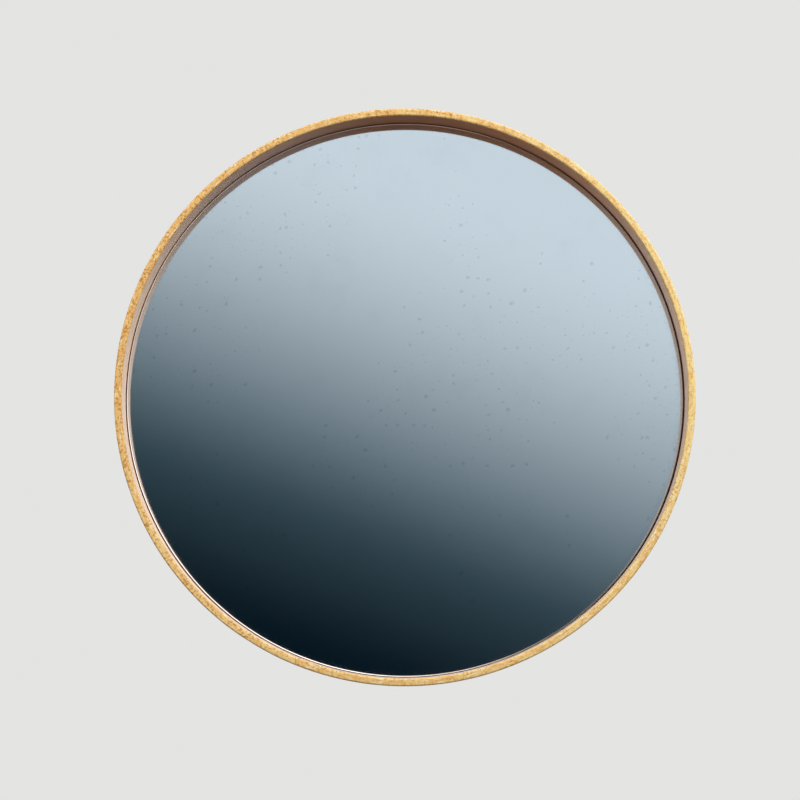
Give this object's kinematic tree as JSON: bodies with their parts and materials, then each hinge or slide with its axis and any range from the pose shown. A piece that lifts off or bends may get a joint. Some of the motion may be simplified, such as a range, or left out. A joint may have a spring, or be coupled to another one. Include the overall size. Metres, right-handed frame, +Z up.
{
  "type": "convex wall mirror",
  "caption": "Round, shallow-domed wall mirror set deep in a plain gilded hoop, with a closed back, soft wall bumpers and swinging D-rings to hang it by.",
  "frame": {"origin": "on the mirror's axis, in the plane of the wall that the bumpers touch", "axes": "+Y along the axis, from the viewer to the wall; +X to the viewer's right; +Z up"},
  "size_m": [0.6, 0.056, 0.6],
  "materials": {
    "gilt": "bent wood hoop, gessoed and laid with gold-coloured metal leaf, rubbed to a red-brown ground at the edges and specks",
    "silvered_glass": "bent glass silvered on its back, antiqued with fine grey-blue foxing, edge seamed",
    "foam_tape": "closed-cell foam mounting tape",
    "cork": "pressed cork",
    "plywood": "birch plywood, front edge stained dark",
    "fibreboard": "bare hard fibreboard with a fine fibre fleck",
    "zinc_steel": "bright zinc-plated steel",
    "brassed_steel": "brass-plated steel, lightly worn",
    "bumper_rubber": "matt black rubber"
  },
  "bodies": {
    "mirror": {"frame_hoop": "gilt", "mirror_glass": "silvered_glass", "glass_tape_1": "foam_tape", "glass_tape_2": "foam_tape", "glass_tape_3": "foam_tape", "glass_tape_4": "foam_tape", "glass_tape_5": "foam_tape", "glass_tape_6": "foam_tape", "ledge_ring": "plywood", "backboard": "fibreboard", "backboard_screw_1": "zinc_steel", "backboard_screw_2": "zinc_steel", "backboard_screw_3": "zinc_steel", "backboard_screw_4": "zinc_steel", "backboard_screw_5": "zinc_steel", "backboard_screw_6": "zinc_steel", "backboard_screw_7": "zinc_steel", "backboard_screw_8": "zinc_steel", "setting_block_left": "cork", "strap_hanger_left": "brassed_steel", "hanger_screw_left_1": "zinc_steel", "hanger_screw_left_2": "zinc_steel", "setting_block_right": "cork", "strap_hanger_right": "brassed_steel", "hanger_screw_right_1": "zinc_steel", "hanger_screw_right_2": "zinc_steel", "wall_bumper_1": "bumper_rubber", "wall_bumper_2": "bumper_rubber", "wall_bumper_3": "bumper_rubber", "wall_bumper_4": "bumper_rubber"},
    "d_ring_left": {"d_ring_left": "brassed_steel"},
    "d_ring_right": {"d_ring_right": "brassed_steel"}
  },
  "joints": [
    {"name": "d_ring_left_swing", "type": "hinge", "parent": "mirror", "child": "d_ring_left", "pos_m": [-0.15, -0.0036, 0.22847], "axis": [1, 0, 0], "range_deg": [0, 180]},
    {"name": "d_ring_right_swing", "type": "hinge", "parent": "mirror", "child": "d_ring_right", "pos_m": [0.15, -0.0036, 0.22847], "axis": [1, 0, 0], "range_deg": [0, 180]}
  ]
}
